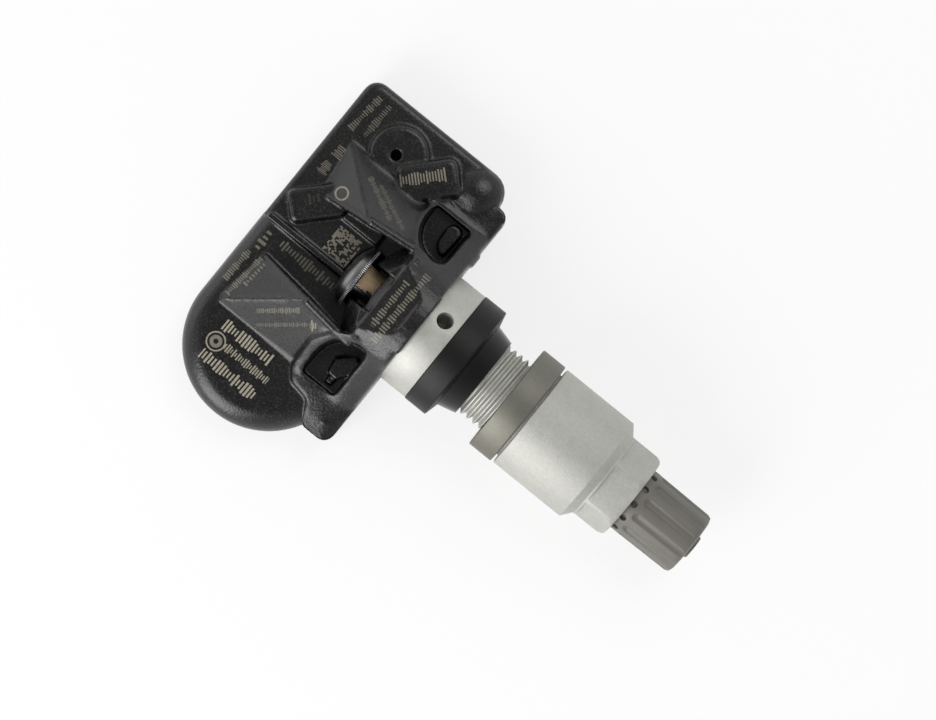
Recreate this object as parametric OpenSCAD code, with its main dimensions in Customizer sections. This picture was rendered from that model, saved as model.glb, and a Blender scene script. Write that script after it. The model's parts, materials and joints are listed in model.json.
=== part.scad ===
// Tyre pressure sensor with a clamp-in metal valve, built in millimetres.
// The origin is the middle of the grommet face that seats on the wheel rim.
// +X runs out along the valve to the dust cap, +Y to the pressure port end, +Z away from the base.

/* [Housing] */
// Left side of the housing, measured from the rim seat
body_left = -33.2; // [-34.5:0.1:-32.8]
// Electronics end of the housing
body_top = 21.9; // [21:0.1:24]
// Front face of the housing, towards the wheel rim
front_x = -7.66; // [-7.8:0.02:-7.5]
// Height of the electronics end
deck_h = 6.5; // [6.3:0.1:6.7]
// Height of the battery end
battery_h = 5.7; // [5.6:0.1:5.8]
// Wall thickness of the moulding
wall = 1.2; // [1:0.1:1.3]
// Wall of the round battery end, with the gap round the cell
end_wall = 1.5; // [1.4:0.1:2]
// Edge rounding over the battery
end_round = 3; // [2:0.25:3.5]
// Thickness of the arch over the valve's ball
arch_over = 0.3; // [0.2:0.05:0.6]

/* [Ball seat] */
// Place of the swivel centre on the valve axis
ball_x = -4.7; // [-4.8:0.1:-4.6]
// How much larger the ball's radius is than the foot's
ball_crown = 0.6; // [0.5:0.05:0.7]
// Thickness of the cradle wall between ball and screw head
cradle_t = 3; // [2.8:0.1:3.2]
// How far the loosened screw's head stands off the cradle
screw_gap = 1.1; // [0:0.1:1.5]
// Largest tilt of the valve from straight, in degrees
tilt_max = 17; // [10:1:18]
// Width of the screw slot
slot_w = 5.6; // [5:0.1:6]

/* [Valve] */
// Diameter of the valve foot
foot_d = 16.8; // [16.6:0.1:16.9]
// Thickness of the sealing grommet's disc
disc_t = 3.57; // [3.4:0.01:3.6]
// How far the grommet's disc reaches past the foot
disc_over = 0.1; // [0:0.05:0.1]
// Major diameter of the stem thread
thread_d = 11; // [10.8:0.1:11]
// Major diameter of the thread at the cap end
tip_d = 7.7; // [7.6:0.05:7.7]
// End of the stem
stem_end = 36; // [35.5:0.1:36.1]
// Diameter of the retaining screw's shank
shank_d = 4.5; // [4:0.1:4.6]
// Diameter of the retaining screw's head
head_d = 9.06; // [8.6:0.02:9.1]

/* [Nut and cap] */
// Start of the spacer ring
ring_x = 6.78; // [6.7:0.02:6.9]
// Diameter of the spacer ring
ring_d = 15.7; // [15.5:0.1:16]
// Start of the union nut
nut_x = 10.77; // [10.7:0.01:10.85]
// Diameter of the union nut's round part
nut_d = 15.5; // [15.3:0.1:15.8]
// Width across the flats of the nut
nut_flats = 11.2; // [11:0.1:11.3]
// End of the nut
nut_end = 27.94; // [27.9:0.01:27.95]
// Wall of the dust cap's skirt
cap_wall = 0.8; // [0.75:0.05:0.9]
// End of the dust cap's body
cap_end = 37.76; // [37.6:0.02:37.9]
// Number of grip flutes on the dust cap
flutes = 12; // [8:1:14]

/* [Electronics] */
// Diameter of the coin cell
cell_d = 20; // [19.5:0.1:20]
// Height of the coin cell
cell_h = 3.2; // [3:0.05:3.25]
// Thickness of the circuit board
board_t = 0.8; // [0.6:0.1:0.8]

/* [Hidden] */
$fn = 64;
arc_n = 5;
tiny = 0.02;
fit = 0.05;
thread_fit = 0.08;
far = 60;

// Sizes that follow from the valve foot and the cap's thread
ball_r = foot_d / 2 + ball_crown;
ball_gap = 0.1;
arch_r = ball_r + arch_over;
seat_r = ball_r + cradle_t;
disc_d = foot_d + 2 * disc_over;
cap_d = tip_d + 2 * (fit + cap_wall);
base_z = -foot_d / 2 - 0.1;
deck_z = base_z + deck_h;
battery_deck_z = base_z + battery_h;

// Plan of the housing
end_r = cell_d / 2 + end_wall;
end_c = [body_left - 0.2 + end_r, -14.4];
body_right = -9.6;
deck_edge = -1.47;
corner_small = 2;
corner_large = 3;
bumper_low = -19.9;
bumper_high = 18.7;
channel_y = 6.4;
saddle_x = -14;
notch_y = 10.2;
ridge_y = 6.2;
ridge_z = 6.5;
ramp_slope = 1.18;
ramp_end_slope = 1.04;
ramp_end_turn = -7.5;

// Levels inside the housing
cover_t = 0.8;
cover_top = base_z + cover_t;
board_z = cover_top + 0.2;
board_top = board_z + board_t;
cell_z = cover_top + 0.4;
bay_top = deck_z - wall;
cell_bay_top = battery_deck_z - wall + 0.2;
tab_t = 0.2;
bay_x = [-21.7, -17.5, -11];
bay_y = [9, 15.4];

// Pressure port, pads and pockets
port_at = [-24.4, 15.5];
disc_at = [-24.1, 15.8];
disc_h = 0.8;
port_d = 1.4;
pad_dir = 46.7;
pad_rise = 1.5;
pad_at = [-16.1, 18.6];
pad_size = [8.2, 5.2];
stud_at = [-31.1, 1.4];
stud_size = [7.4, 4.5];
bulge_at = [-13, 18.3];
bulge_r = 3.3;
pocket_floor = battery_deck_z - 0.1;
pocket_r = 5.2;
pocket_low = [-10.9, -12.1];
pocket_high = [-10.9, 13.0];

// Stem, core and cap places along the valve
stem_shoulder = 2.7;
thread_end = 17.5;
bore_r = 1.9;
shank_end = ball_x - 3.8;
bore_start = shank_end + 1.7;
vent_x = ball_x - 0.93;
vent_r = 1.15;
vent_turn = 18.4;
neck_r = 4.9;
seat_x = 22;
core_r = 2.6;
head_x = ball_x - seat_r - screw_gap;
head_t = 2.3;
head_gap = 0.3;
dome_h = 1.75;
collar_x = 8.2;
collar_r = 6.65;
flat_turn = 8.7;
cap_x = nut_end + 0.06;
cap_inside = stem_end + 0.7;
gate_r = 1.75;
core_chamber = [23.5, 30];
pin_r = 0.45;
barrel_r = bore_r - 0.15;
thread_r = thread_d / 2;

// Places of the parts on the board
chip_size = [6, 5, 1.8];
coil_at = [-28.7, 8];
coil_size = [1.8, 7.6, 1.5];
flange_size = [2.6, 1.2, 2.4];
tab_w = 2.4;
tab_plus_x = -24.4;
tab_minus_x = -28.4;
tab_edge = end_c[1] + cell_d / 2 + 1;
tab_end = tab_edge + 2.4;
can_at = [-26.6, 0.8];
can_size = [3.2, 2.5, 0.9];
capacitor_size = [1.6, 0.8, 0.8];
strip_t = 0.4;
strip_h = 1.4;

// Back of the screw's domed head, as points [radius, x]
function dome(r, back) = concat([[0, back]],
    [for (a = [10:10:80]) [r * sin(a) * 0.97, back + dome_h * (1 - cos(a))]]);

// Outline helpers: corners are rounded by arcs of arc_n steps, and a positive inset shrinks them
function unit(v) = v / norm(v);
function left_of(v) = [-v[1], v[0]];
function corner(p, r, i, inset) =
    let (
        n = len(p), b = p[i], u = unit(b - p[(i + n - 1) % n]), v = unit(p[(i + 1) % n] - b),
        nu = left_of(u), nv = left_of(v), turn = atan2(cross(u, v), u * v),
        side = turn < 0 ? -1 : 1, rr = max(r - side * inset, tiny),
        centre = b + (inset + side * rr) * (nu + nv) / (1 + nu * nv),
        start = atan2(-side * nu[1], -side * nu[0])
    )
    [for (k = [0:arc_n]) centre + rr * [cos(start + turn * k / arc_n), sin(start + turn * k / arc_n)]];
function outline(p, r, inset = 0) = [for (i = [0:len(p) - 1]) each corner(p, r[i], i, inset)];
function same(p, r) = [for (q = p) r];
function box_points(x0, y0, x1, y1) = [[x0, y0], [x1, y0], [x1, y1], [x0, y1]];

// Convex slab with rounded corners and a rounded top edge
module slab(p, r, z0, z1, edge) {
    steps = 4;
    levels = concat([[0, z0]],
        [for (k = [0:steps]) [edge * (1 - cos(90 * k / steps)), z1 - edge + edge * sin(90 * k / steps)]]);
    rings = [for (l = levels) [for (q = outline(p, r, l[0])) [q[0], q[1], l[1]]]];
    m = len(rings[0]);
    last = m * (len(rings) - 1);
    sides = [for (j = [0:len(rings) - 2]) for (i = [0:m - 1])
        let (a = j * m + i, b = j * m + (i + 1) % m) each [[a, a + m, b + m], [a, b + m, b]]];
    polyhedron([for (g = rings) each g],
        concat([[for (i = [0:m - 1]) i]], sides, [[for (i = [m - 1:-1:0]) last + i]]));
}

// Upright prism over a plan outline
module prism(p, z0, z1) {
    translate([0, 0, z0]) linear_extrude(z1 - z0) polygon(p);
}

// Solid whose section across the valve axis is given as points [y, z]
module along_x(p, x0, x1) {
    translate([x0, 0, 0]) rotate([90, 0, 90]) linear_extrude(x1 - x0) polygon(p);
}

// Solid whose side view is given as points [x, z]
module along_y(p, y0, y1) {
    translate([0, y1, 0]) rotate([90, 0, 0]) linear_extrude(y1 - y0) polygon(p);
}

// Part turned about the valve axis, from points [radius, x]
module turned(p) {
    rotate([0, 90, 0]) rotate_extrude() polygon(p);
}

module rod(r, x0, x1) {
    translate([x0, 0, 0]) rotate([0, 90, 0]) cylinder(r = r, h = x1 - x0);
}

module tube(r_in, r_out, x0, x1) {
    turned([[r_in, x0], [r_out, x0], [r_out, x1], [r_in, x1]]);
}

module block(x0, y0, z0, x1, y1, z1) {
    translate([x0, y0, z0]) cube([x1 - x0, y1 - y0, z1 - z0]);
}

module at_ball() {
    translate([ball_x, 0, 0]) children();
}

// Half of the round battery end and the straight part behind it
module battery_body() {
    w = 2 * end_r;
    translate([end_c[0], end_c[1], 0]) rotate([0, 0, 180]) rotate_extrude(angle = 180)
        intersection() {
            battery_section();
            translate([0, base_z]) square([w, w]);
        }
    translate([end_c[0], deck_edge + 0.5, 0]) rotate([90, 0, 0])
        linear_extrude(deck_edge + 0.5 - end_c[1]) battery_section();
}

module battery_section() {
    h = battery_deck_z - base_z;
    translate([-end_r, base_z]) square([2 * end_r, h - end_round]);
    translate([-end_r + end_round, base_z]) square([2 * (end_r - end_round), h]);
    for (s = [-1, 1]) translate([s * (end_r - end_round), battery_deck_z - end_round]) circle(end_round);
}

module electronics_body() {
    slab(box_points(body_left, deck_edge, body_right, body_top),
        [tiny, tiny, corner_large, corner_small], base_z, deck_z, 1);
}

// Front wall, ball cradle and pocket rims share one roof: an arch with a slope on each side
module bumper() {
    slope_y = arch_r * sin(45);
    shelf = 14.6;
    shelf_z = 2 * slope_y - shelf;
    roof = concat([[bumper_low - 1, base_z], [bumper_high + 2.2, base_z], [bumper_high + 2.2, shelf_z - 0.3],
            [shelf, shelf_z]],
        [for (a = [45:-7.5:-45]) arch_r * [sin(a), cos(a)]],
        [[-shelf, shelf_z], [bumper_low - 1, shelf_z - 0.3]]);
    plan = [[front_x, bumper_low], [front_x, bumper_high], [-9.7, bumper_high], [-11, 16.3],
        [-13, 15.2], [-15.9, 15.2], [-17.2, 13.4], [-16.6, 9.8], [saddle_x, channel_y],
        [saddle_x, -channel_y], [-15.6, -7.3], [-17.9, -9.9], [-17.9, -14.6], [-16.4, -16.3],
        [-13.4, -16.8], [-11.7, bumper_low]];
    radii = [1.5, 1.5, 0.5, 1, 1, 1, 1, 1.5, 0.3, 0.3, 1, 1.5, 1.5, 1, 1.5, 0.6];
    intersection() {
        along_x(roof, -20, front_x + 1);
        prism(outline(plan, radii), base_z, arch_r + 1);
    }
    for (i = [0:4]) block(front_x - 1, notch_y + 0.45 * i, base_z + 3,
        front_x + 0.32, notch_y + 0.22 + 0.45 * i, 2.2 - 0.45 * i);
}

// Sloping flank beside the screw channel, with a second slope at its outer end
module ramp() {
    plan = [[-30.4, -14.1], [-17, -14.1], [-17, -9.9], [-14.4, -6.6], [-15.6, -ridge_y - 1],
        [-21.2, -ridge_y], [-29.7, -5.3], [-30.7, -12.9]];
    intersection() {
        prism(outline(plan, same(plan, 0.4)), battery_deck_z - 2, ridge_z + 2);
        along_x([[-18, ridge_z - ramp_slope * (18 - ridge_y)], [-18, -14], [0, -14],
            [0, ridge_z + ramp_slope * ridge_y]], -32, -14);
        translate([-29.7, -5.3, battery_deck_z + 0.3]) rotate([0, 0, ramp_end_turn])
            along_y([[-2, -2 * ramp_end_slope], [-2, -8], [20, -8], [20, 20 * ramp_end_slope]], -12, 12);
    }
}

module pads() {
    translate([pad_at[0], pad_at[1], 0]) rotate([0, 0, 180 + pad_dir])
        slab(box_points(0, -pad_size[1] / 2, pad_size[0], pad_size[1] / 2), same([0, 0, 0, 0], 1.3),
            base_z + 3, deck_z + pad_rise, 0.8);
    translate([stud_at[0], stud_at[1], 0]) rotate([0, 0, pad_dir])
        slab(box_points(0, -stud_size[1] / 2, stud_size[0], stud_size[1] / 2), same([0, 0, 0, 0], 0.9),
            base_z + 3, deck_z + pad_rise, 0.6);
    translate([disc_at[0], disc_at[1], deck_z - 2]) cylinder(r = 4, h = 2 + disc_h / 2);
    translate([disc_at[0], disc_at[1], deck_z + disc_h / 2]) cylinder(r1 = 4, r2 = 3.5, h = disc_h / 2);
    translate([bulge_at[0], bulge_at[1], 0]) intersection() {
        translate([0, 0, deck_z - bulge_r]) sphere(bulge_r + 1.3);
        translate([0, 0, deck_z - 2]) cylinder(r = bulge_r, h = 4);
    }
}

// Wall that the screw head bears on, round about the swivel centre
module seat_wall() {
    intersection() {
        at_ball() sphere(seat_r);
        block(ball_x - seat_r - 1, -channel_y - 0.3, base_z, ball_x - 4.3, channel_y + 0.3, arch_r - 1.7);
    }
}

// Open pockets on each side of the cradle
module pocket_cuts() {
    low = box_points(pocket_low[0] - 5.3, pocket_low[1] - 2.2, pocket_low[0], pocket_low[1] + pocket_r);
    high = box_points(pocket_high[0] - pocket_r, pocket_high[1] - pocket_r, pocket_high[0] + 0.4,
        pocket_high[1] + 0.9);
    prism(outline(low, [0.3, 0.3, 0.8, 4.3]), pocket_floor, arch_r + 1);
    prism(outline(high, [4, 1.2, 0.3, 0.3]), pocket_floor, arch_r + 1);
}

// Blocks that stand in the pockets
module pocket_ribs() {
    post = [[-12.9, 9.9], [-11.3, 8.4], [-11.1, 13.1], [-13.2, 13.2]];
    stop = [[-13.5, -12.2], [-12.1, -12.4], [-10.8, -10.6], [-10.8, -8.9], [-11.7, -8.3], [-13.8, -10.1]];
    prism(outline(post, [0.8, 0.5, 0.8, 0.9]), pocket_floor - 0.5, pocket_floor + 2.4);
    prism(outline(stop, same(stop, 0.15)), pocket_floor - 0.5, pocket_floor + 1.6);
    for (y = [-12.7, -13.3]) block(-13.1, y - 0.12, pocket_floor - 0.5, -12.1, y + 0.12, pocket_floor + 0.8);
}

// Corners of the hollow inside from y0 upwards, grown by g
function bay_corners(y0, g) =
    let (left = body_left + wall - g, top = body_top - wall + g)
    [[left, y0], [bay_x[0] + g, y0], [bay_x[0] + g, bay_y[0] - g], [bay_x[1] + g, bay_y[1] - g],
        [bay_x[2] + g, bay_y[1] - g], [bay_x[2] + g, top], [left, top]];

// Plan of the hollow inside, grown by g for the cover's rebate
module bay_plan(g = 0) {
    translate(end_c) circle(cell_d / 2 + 0.2 + g);
    polygon(bay_corners(end_c[1] + 2.4, g));
}

module bay_cut() {
    translate([0, 0, board_z - 0.1]) linear_extrude(cell_bay_top - board_z + 0.1) bay_plan();
    intersection() {
        translate([0, 0, board_z]) linear_extrude(bay_top - board_z) bay_plan();
        block(-far, deck_edge + wall, board_z, far, far, far);
    }
    translate([0, 0, base_z - 1]) linear_extrude(cover_t + 1.1) bay_plan(0.6 + fit);
    for (s = [-1, 1]) intersection() {
        along_x([[s * 7.6, -4.2], [s * 7.6, 2.6], [s * 12.6, -3.3], [s * 12.6, -4.2]], -23.4, -18.6);
        block(-far, s > 0 ? 0 : -far, -far, far, s > 0 ? far : 0, far);
    }
}

// Slot that lets the screw swing from straight to the largest tilt
module screw_slot() {
    half = shank_d / 2 + 0.15;
    reach = seat_r + 1.5;
    at_ball() rotate([90, 0, 0]) rotate([0, 0, 180 - tilt_max]) rotate_extrude(angle = tilt_max)
        translate([ball_r - 2, -slot_w / 2]) square([reach - ball_r + 2, slot_w]);
    at_ball() block(-reach, -slot_w / 2, -half, -ball_r + 2, slot_w / 2, 0);
    at_ball() rotate([0, tilt_max, 0]) block(-reach, -slot_w / 2, -0.2, -ball_r + 2, slot_w / 2, half);
}

// Recess below the deck that the screw head swings in, shaped to its dome
module head_pocket() {
    r = head_d / 2 + head_gap;
    back = head_x - head_t - head_gap;
    difference() {
        turned(concat([[0, ball_x - 6]], dome(r, back), [[r, ball_x - 6]]));
        at_ball() sphere(seat_r);
    }
}

module board_posts() {
    for (p = [[-29.8, 18.4], [-14.2, 18.6], [-30.6, 0.9]])
        translate([p[0], p[1], board_top]) cylinder(r = 0.9, h = bay_top - board_top + 0.4);
}

module housing() {
    color([0.17, 0.17, 0.18]) {
        difference() {
            union() {
                battery_body();
                electronics_body();
                bumper();
                ramp();
                mirror([0, 1, 0]) ramp();
                pads();
                seat_wall();
            }
            at_ball() sphere(ball_r + ball_gap);
            screw_slot();
            head_pocket();
            along_y([[saddle_x - 0.6, arch_r - 1.85], [body_right, arch_r - 0.45], [body_right, arch_r + 3],
                [saddle_x - 0.6, arch_r + 3]], -8, 8);
            pocket_cuts();
            bay_cut();
            block(-9.9, -7, base_z - 1, front_x + 1, 7, base_z + 2.1);
            translate([port_at[0], port_at[1], bay_top - 1]) cylinder(r = port_d / 2, h = 5);
        }
        pocket_ribs();
        board_posts();
    }
}

// Plate welded into the open base, with pips that carry the board and the cell
module base_cover() {
    color([0.12, 0.12, 0.13]) {
        translate([0, 0, base_z]) linear_extrude(cover_t) bay_plan(0.6);
        for (p = [[-30.6, 17.2], [-13, 18.6], [-30.6, 2.5]])
            translate([p[0], p[1], cover_top - 0.1]) cylinder(r = 0.8, h = board_z - cover_top + 0.1);
        for (a = [60, 180, 300])
            translate([end_c[0] + 7 * cos(a), end_c[1] + 7 * sin(a), cover_top - 0.1])
                cylinder(r = 1, h = cell_z - cover_top + 0.1);
    }
}

module circuit_board() {
    color([0.1, 0.35, 0.2])
        prism(bay_corners(tab_edge + 0.4, -0.2), board_z, board_top);
}

// Coin cell: a can with a slightly smaller lid crimped into its lower side
module battery_cell() {
    color([0.75, 0.75, 0.74]) translate([end_c[0], end_c[1], cell_z]) {
        cylinder(r = cell_d / 2 - 1.1, h = 0.5);
        translate([0, 0, 0.4]) cylinder(r = cell_d / 2, h = cell_h - 0.4);
    }
}

// Flat stretch of a welded tab about its middle line
module tab(x, y0, y1, z0, z1) {
    block(x - tab_w / 2, y0, z0, x + tab_w / 2, y1, z1);
}

module battery_tab_plus() {
    z = cell_z + cell_h;
    color([0.8, 0.78, 0.7]) {
        tab(tab_plus_x, end_c[1] + 4.4, tab_edge - 0.4, z, z + tab_t);
        tab(tab_plus_x, tab_edge - 0.6, tab_edge - 0.4, board_top, z + tab_t);
        tab(tab_plus_x, tab_edge - 0.6, tab_end, board_top, board_top + tab_t);
    }
}

module battery_tab_minus() {
    z = cell_z - tab_t;
    color([0.8, 0.78, 0.7]) {
        tab(tab_minus_x, end_c[1] + 2.4, tab_edge, z, cell_z);
        tab(tab_minus_x, tab_edge - tab_t, tab_edge, z, board_top + tab_t);
        tab(tab_minus_x, tab_edge - tab_t, tab_end, board_top, board_top + tab_t);
    }
}

// Pressure sensor in a moulded package, with a pressure hole in its lid
module sensor_chip() {
    color([0.08, 0.08, 0.09]) difference() {
        translate([port_at[0] - chip_size[0] / 2, port_at[1] - chip_size[1] / 2, board_top]) cube(chip_size);
        translate([port_at[0], port_at[1], board_top + chip_size[2] - 1]) cylinder(r = 0.6, h = 2);
    }
}

module port_seal() {
    seal_z = board_top + chip_size[2];
    color([0.25, 0.25, 0.27]) translate([port_at[0], port_at[1], seal_z]) difference() {
        cylinder(r = 1.9, h = bay_top - seal_z);
        translate([0, 0, -1]) cylinder(r = 0.8, h = 5);
    }
}

// Block of the coil, centred on its place on the board
module coil_block(size, z) {
    translate([coil_at[0] - size[0] / 2, coil_at[1] - size[1] / 2, z]) cube(size);
}

// Low-frequency wake-up coil: a flanged ferrite core along Y and its winding
module coil_core() {
    color([0.2, 0.2, 0.2]) {
        coil_block(coil_size, board_top + 0.5);
        for (s = [-1, 1]) translate([0, s * (coil_size[1] - flange_size[1] + 0.6) / 2, 0])
            coil_block(flange_size, board_top);
    }
}

module coil_winding() {
    color([0.72, 0.4, 0.2]) difference() {
        coil_block([coil_size[0] + 0.6, coil_size[1] - 1.8, coil_size[2] + 0.6], board_top + 0.2);
        coil_block([coil_size[0], coil_size[1] + 1, coil_size[2]], board_top + 0.5);
    }
}

module crystal() {
    color([0.8, 0.8, 0.78]) translate([can_at[0], can_at[1], board_top]) cube(can_size);
}

// Radio antenna: a strip bent round the board's corner, standing on two feet
module antenna() {
    x0 = body_left + wall + 0.5;
    x1 = -16;
    y1 = body_top - wall - 0.6;
    z = board_top + strip_h;
    color([0.8, 0.75, 0.6]) {
        block(x0, 3.2, z, x0 + strip_t, y1, z + strip_h);
        block(x0, y1 - strip_t, z, x1, y1, z + strip_h);
        for (y = [4.2, 13]) block(x0, y, board_top, x0 + strip_t, y + 1.2, z + 0.1);
        block(x1 - strip_h, y1 - strip_t, board_top, x1, y1, z + 0.1);
    }
}

module chip_capacitors() {
    color([0.62, 0.5, 0.36]) {
        for (i = [0:3]) translate([-26.8 + 0.1 * i, 5 + 1.5 * i, board_top]) cube(capacitor_size);
        for (i = [0:2]) translate([-21.2 + 2.1 * i, 17.4, board_top]) cube(capacitor_size);
    }
}

// One turned piece: spherical foot, grommet seat, threaded stem and the tip for the cap
module valve_stem() {
    tip_r = tip_d / 2;
    foot_x = -disc_t;
    color([0.73, 0.73, 0.7]) difference() {
        union() {
            intersection() {
                at_ball() sphere(ball_r);
                rod(foot_d / 2, -20, foot_x);
            }
            turned([[0, foot_x - 1], [neck_r, foot_x - 1], [neck_r, stem_shoulder],
                [thread_r - 0.3, stem_shoulder], [thread_r, stem_shoulder + 0.3],
                [thread_r, thread_end - 0.6], [thread_r - 0.6, thread_end], [tip_r, thread_end],
                [tip_r, stem_end - 0.5], [tip_r - 0.5, stem_end], [0, stem_end]]);
        }
        rod(shank_d / 2, -20, shank_end);
        rod(bore_r, bore_start, stem_end + 1);
        rod(core_r + fit, seat_x + 6, stem_end + 1);
        for (side = [0, 180]) translate([vent_x, 0, 0]) rotate([side - vent_turn, 0, 0])
            cylinder(r = vent_r, h = foot_d);
    }
}

// Rubber disc and neck in one piece, which fill the hole in the wheel rim
module rim_grommet() {
    r = disc_d / 2;
    color([0.18, 0.18, 0.18])
        turned(outline([[neck_r, -disc_t], [r, -disc_t], [r, -0.1], [6.55, 0.36], [6.5, 0.45], [5.85, 2.98],
            [neck_r, 2.6]],
            [tiny, 0.2, 0.2, tiny, tiny, 0.15, tiny]));
}

// Button-head screw with a serrated rim and a six-lobed recess
module retaining_screw() {
    r = head_d / 2;
    back = head_x - head_t;
    tip = shank_end - 0.1;
    color([0.45, 0.45, 0.46]) difference() {
        turned(concat([[0, tip]], dome(r, back), [[r, head_x - 0.35], [r, head_x], [r - 0.7, head_x],
            [shank_d / 2 + 0.6, head_x - 0.35], [shank_d / 2, head_x - 0.35], [shank_d / 2, tip - 0.4],
            [shank_d / 2 - 0.4, tip]]));
        translate([back - 1, 0, 0]) rotate([0, 90, 0]) linear_extrude(2.5) difference() {
            circle(1.93);
            for (i = [0:5]) rotate(60 * i) translate([1.98, 0]) circle(0.62);
        }
        for (i = [0:35]) rotate([10 * i, 0, 0]) translate([head_x, 0, r]) rotate([0, 45, 0])
            cube([0.3, 0.34, 0.3], center = true);
    }
}

module core_body() {
    lip = stem_end - 0.8;
    color([0.78, 0.66, 0.35]) turned([[0.6, seat_x], [1.5, seat_x], [1.5, seat_x + 1], [barrel_r, seat_x + 1],
        [barrel_r, seat_x + 6.1], [core_r, seat_x + 8], [core_r, lip - 0.6], [1.4, lip], [0.6, lip],
        [0.6, core_chamber[1]], [1.25, core_chamber[1]], [1.25, core_chamber[0]], [0.6, core_chamber[0]]]);
}

module core_barrel_seal() {
    color([0.85, 0.3, 0.25]) tube(barrel_r, bore_r, seat_x + 2, seat_x + 4);
}

// Pin that opens the valve when it is pushed in, with the collar that its spring bears on
module core_pin() {
    foot = seat_x - 1.8;
    collar = core_chamber[1] - 0.8;
    head = stem_end - 0.3;
    color([0.8, 0.7, 0.4]) turned([[0, foot - 0.8], [1.1, foot - 0.8], [1.1, foot], [pin_r, foot],
        [pin_r, collar], [1.1, collar], [1.1, collar + 0.6], [pin_r, collar + 0.6], [pin_r, head - 0.3],
        [0.6, head - 0.3], [0.6, head], [0, head]]);
}

module core_cup() {
    color([0.2, 0.2, 0.2]) tube(pin_r, 1.45, seat_x - 1.8, seat_x - 0.02);
}

// Spring of the valve core, wound round the pin between barrel and collar
module core_spring() {
    turns = 7;
    steps = 10;
    wire = 0.14;
    x0 = core_chamber[0] + wire;
    x1 = core_chamber[1] - 0.8 - wire;
    r = 0.95;
    n = turns * steps;
    sides = 6;
    ring = [for (k = [0:n]) for (j = [0:sides - 1])
        let (a = 360 * k / steps, b = 360 * j / sides, q = r + wire * cos(b))
        [x0 + (x1 - x0) * k / n + wire * sin(b), q * cos(a), q * sin(a)]];
    skin = [for (k = [0:n - 1]) for (j = [0:sides - 1])
        let (a = k * sides + j, b = k * sides + (j + 1) % sides)
        each [[a, b, b + sides], [a, b + sides, a + sides]]];
    color([0.75, 0.75, 0.76]) polyhedron(ring,
        concat([[for (j = [sides - 1:-1:0]) j]], skin, [[for (j = [0:sides - 1]) n * sides + j]]));
}

// Loose ring that the nut presses against the wheel, carried on the nut's collar
module spacer_ring() {
    r = ring_d / 2;
    bore = thread_r + thread_fit;
    back = nut_x - 0.36;
    step = collar_x - 0.1;
    color([0.45, 0.43, 0.4]) turned(outline([[bore, ring_x], [r, ring_x], [r, back], [collar_r + fit, back],
        [collar_r + fit, step], [bore, step]], [tiny, 0.2, 0.2, tiny, tiny, tiny]));
}

// Union nut: round sleeve, cone and six flats milled for an 11 mm spanner
module union_nut() {
    r = nut_d / 2;
    hex_r = nut_flats / 2 / cos(30);
    tip = hex_r - 0.13;
    cone_x = nut_end - 6;
    color([0.73, 0.73, 0.7]) difference() {
        turned([[0, collar_x], [collar_r, collar_x], [collar_r, nut_x], [r - 0.15, nut_x],
            [r, nut_x + 0.15], [r, cone_x], [tip, cone_x + 1.1], [tip, nut_end - 0.85],
            [tip - 0.12, nut_end - 0.55], [tip - 0.3, nut_end - 0.2], [tip - 0.6, nut_end], [0, nut_end]]);
        for (i = [0:5]) rotate([flat_turn + 60 * i, 0, 0])
            block(cone_x + 1.45, -hex_r, nut_flats / 2, nut_end + 1, hex_r, r);
        rod(thread_r + thread_fit, collar_x - 1, cone_x - 0.54);
        rod(tip_d / 2 + 0.35, cone_x - 2, nut_end + 1);
    }
}

// Cap with grip flutes, a pit beside each rib and the mark of its mould gate at the end
module dust_cap() {
    r = cap_d / 2;
    color([0.44, 0.42, 0.4]) difference() {
        turned([[r - cap_wall, cap_x], [r, cap_x], [r, cap_x + 1], [r - 0.1, cap_end - 0.7],
            [r - 0.28, cap_end - 0.2], [r - 0.8, cap_end], [gate_r, cap_end], [gate_r - 0.15, cap_end + 0.49],
            [0, cap_end + 0.49], [0, cap_inside], [r - cap_wall, cap_inside]]);
        for (i = [0:flutes - 1])
            rotate([-10 - 360 * i / flutes, 0, 0]) translate([cap_x + 1.9, 0, r + 0.58]) {
            rotate([0, 90, 0]) cylinder(r = 0.9, h = 12, $fn = 32);
            sphere(0.92, $fn = 32);
        }
        for (i = [0:flutes - 1]) rotate([5 - 360 * i / flutes, 0, 0])
            translate([cap_x + 0.4, 0, r - 0.65]) cylinder(r = 0.5, h = 2, $fn = 32);
    }
}

module cap_seal() {
    color([0.6, 0.3, 0.15]) tube(1.3, tip_d / 2, stem_end + 0.03, cap_inside - 0.04);
}

housing();
base_cover();
circuit_board();
battery_cell();
battery_tab_plus();
battery_tab_minus();
sensor_chip();
port_seal();
coil_core();
coil_winding();
crystal();
antenna();
chip_capacitors();
valve_stem();
rim_grommet();
retaining_screw();
core_body();
core_barrel_seal();
core_pin();
core_cup();
core_spring();
spacer_ring();
union_nut();
dust_cap();
cap_seal();
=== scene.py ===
# %% [markdown]
# A tyre pressure sensor, seen from straight above
#
# The real object is a black moulded housing that lies in the well of a car wheel, and a metal valve
# that sticks out through the rim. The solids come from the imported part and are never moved. This
# script gives them their surfaces, and makes again the pieces whose look needs a finer mesh.

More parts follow.
